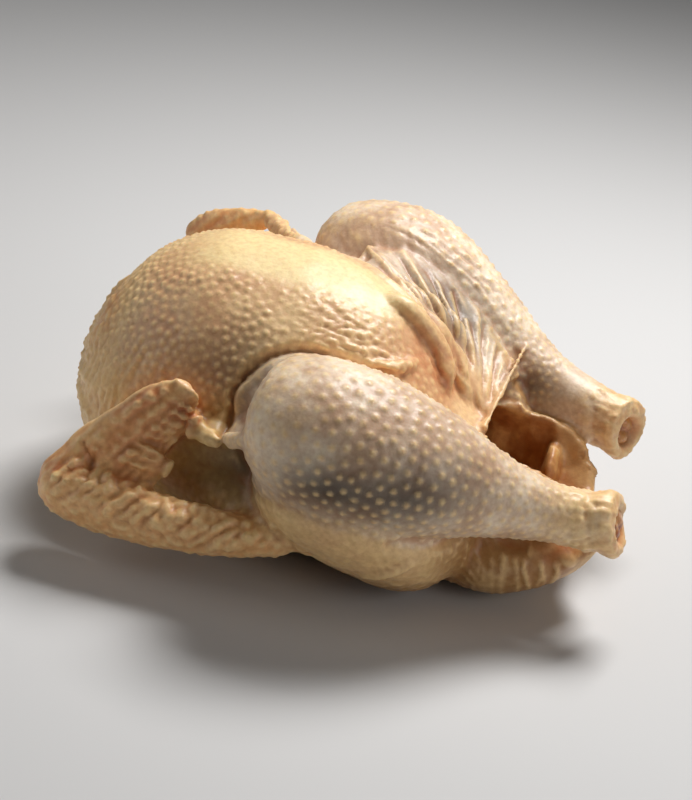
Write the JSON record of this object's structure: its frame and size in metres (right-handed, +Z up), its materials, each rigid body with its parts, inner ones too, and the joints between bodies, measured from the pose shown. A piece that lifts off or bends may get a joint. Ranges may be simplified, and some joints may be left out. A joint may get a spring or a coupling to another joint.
{
  "type": "whole raw chicken",
  "caption": "Whole raw plucked chicken lying on its back, legs drawn up, wings folded, body cavity open at the tail end.",
  "frame": {"origin": "on the small flat spot that the back rests on, below the middle of the body", "axes": "+X from the neck end to the tail and hocks, +Y to the bird's left side, +Z up out of the breast"},
  "size_m": [0.2407, 0.1963, 0.1237],
  "materials": {
    "skin": "moist pale raw skin with raised feather follicles"
  },
  "bodies": {
    "root": {"chicken": "skin"}
  },
  "joints": []
}
